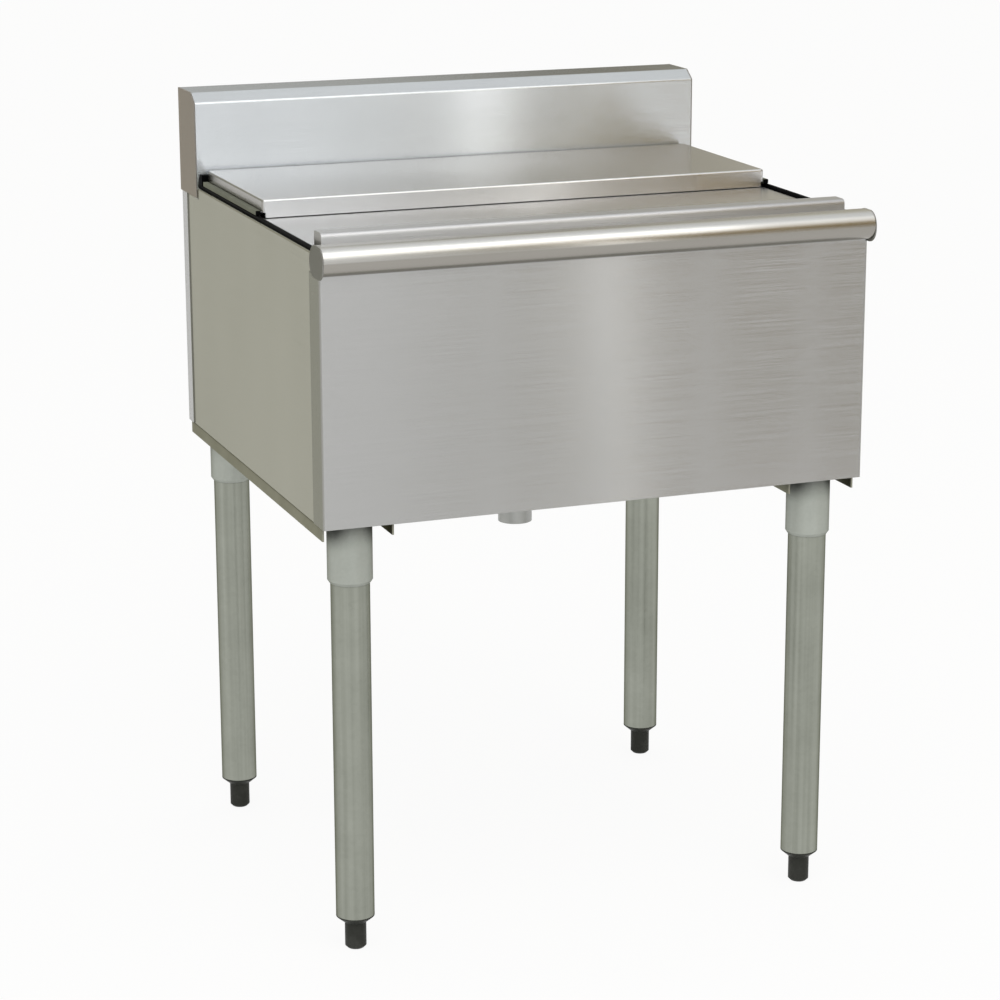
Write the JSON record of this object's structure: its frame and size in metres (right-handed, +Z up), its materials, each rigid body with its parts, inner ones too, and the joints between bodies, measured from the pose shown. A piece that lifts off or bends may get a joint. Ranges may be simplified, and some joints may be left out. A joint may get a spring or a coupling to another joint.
{
  "type": "insulated ice bin",
  "caption": "Insulated stainless ice bin on tubular legs, with a backsplash, a rounded front edge, a drained ice well and covers that slide past each other in plastic tracks.",
  "frame": {"origin": "centre of the overall footprint, on the floor under the feet", "axes": "+X to the right as seen from the front, +Y to the back, +Z up; the front faces -Y"},
  "size_m": [0.6096, 0.544, 0.8636],
  "materials": {
    "stainless_panel": "satin",
    "stainless_liner": "satin",
    "stainless_cover": "satin",
    "galvanised_steel": "satin",
    "cast_socket": "satin",
    "black_plastic": "satin",
    "insulation_foam": "matte",
    "drain_metal": "satin",
    "drain_brass": "satin",
    "drain_rubber": "matte",
    "zinc_fastener": "satin"
  },
  "bodies": {
    "bin": {"front_panel": "stainless_panel", "back_panel": "stainless_panel", "bottom_pan": "stainless_panel", "front_bullnose": "stainless_panel", "backsplash": "stainless_panel", "left_side_panel": "stainless_panel", "left_bullnose_cap": "stainless_panel", "left_rim_rail": "stainless_panel", "left_backsplash_cap": "stainless_panel", "right_side_panel": "stainless_panel", "right_bullnose_cap": "stainless_panel", "right_rim_rail": "stainless_panel", "right_backsplash_cap": "stainless_panel", "ice_liner": "stainless_liner", "left_leg_channel": "galvanised_steel", "right_leg_channel": "galvanised_steel", "front_left_leg_tube": "galvanised_steel", "front_right_leg_tube": "galvanised_steel", "rear_left_leg_tube": "galvanised_steel", "rear_right_leg_tube": "galvanised_steel", "front_left_leg_socket": "cast_socket", "front_right_leg_socket": "cast_socket", "rear_left_leg_socket": "cast_socket", "rear_right_leg_socket": "cast_socket", "left_cover_track": "black_plastic", "right_cover_track": "black_plastic", "front_left_foot_insert": "black_plastic", "front_right_foot_insert": "black_plastic", "rear_left_foot_insert": "black_plastic", "rear_right_foot_insert": "black_plastic", "bottom_insulation": "insulation_foam", "front_insulation": "insulation_foam", "rear_insulation": "insulation_foam", "left_insulation": "insulation_foam", "right_insulation": "insulation_foam", "drain_body": "drain_metal", "drain_strainer": "drain_metal", "drain_slip_nut": "drain_metal", "drain_tailpiece": "drain_metal", "drain_locknut": "drain_brass", "drain_gasket": "drain_rubber", "channel_studs": "zinc_fastener", "channel_nuts": "zinc_fastener", "leg_set_screws": "zinc_fastener"},
    "front_cover": {"front_cover": "stainless_cover", "front_cover_handle": "stainless_cover"},
    "rear_cover": {"rear_cover": "stainless_cover", "left_cover_glide": "black_plastic", "right_cover_glide": "black_plastic"},
    "front_left_foot": {"front_left_bullet_foot": "black_plastic"},
    "front_right_foot": {"front_right_bullet_foot": "black_plastic"},
    "rear_left_foot": {"rear_left_bullet_foot": "black_plastic"},
    "rear_right_foot": {"rear_right_bullet_foot": "black_plastic"}
  },
  "joints": [
    {"name": "front_cover_slide", "type": "slide", "parent": "bin", "child": "front_cover", "axis": [0, 1, 0], "range_m": [0, 0.177]},
    {"name": "rear_cover_slide", "type": "slide", "parent": "bin", "child": "rear_cover", "axis": [0, -1, 0], "range_m": [0, 0.177]},
    {"name": "front_left_foot_level", "type": "slide", "parent": "bin", "child": "front_left_foot", "axis": [0, 0, -1], "range_m": [0, 0.025]},
    {"name": "front_right_foot_level", "type": "slide", "parent": "bin", "child": "front_right_foot", "axis": [0, 0, -1], "range_m": [0, 0.025]},
    {"name": "rear_left_foot_level", "type": "slide", "parent": "bin", "child": "rear_left_foot", "axis": [0, 0, -1], "range_m": [0, 0.025]},
    {"name": "rear_right_foot_level", "type": "slide", "parent": "bin", "child": "rear_right_foot", "axis": [0, 0, -1], "range_m": [0, 0.025]}
  ]
}
